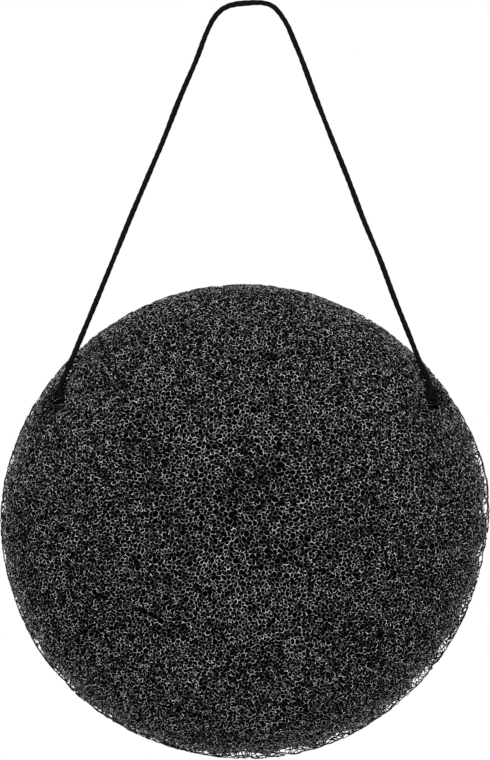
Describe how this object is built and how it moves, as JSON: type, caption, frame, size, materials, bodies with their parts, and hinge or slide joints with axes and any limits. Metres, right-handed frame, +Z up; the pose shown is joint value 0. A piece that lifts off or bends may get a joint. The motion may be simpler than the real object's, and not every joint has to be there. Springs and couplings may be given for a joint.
{
  "type": "konjac sponge",
  "caption": "Half-ball face sponge of black open-cell foam on a closed string loop that is threaded through the foam and hangs from a hook.",
  "frame": {"origin": "seat at the top of the string loop, where a hook or peg bears, in the mid-plane of the sponge", "axes": "+Z up as it hangs; the dome looks along -Y and the flat back faces +Y; X runs across the sponge, parallel to the threaded line"},
  "size_m": [0.08, 0.0412, 0.1244],
  "materials": {
    "foam": "matt black open-cell foam of thin struts",
    "string": "black twisted cord"
  },
  "bodies": {
    "string": {"hanging_loop": "string", "string_run_left": "string", "string_run_right": "string", "string_knot": "string"},
    "sponge": {"sponge_body": "foam"}
  },
  "joints": [
    {"name": "swing_on_string", "type": "hinge", "parent": "string", "child": "sponge", "pos_m": [0, 0, -0.065], "axis": [1, 0, 0], "range_deg": [-85, 15]}
  ]
}
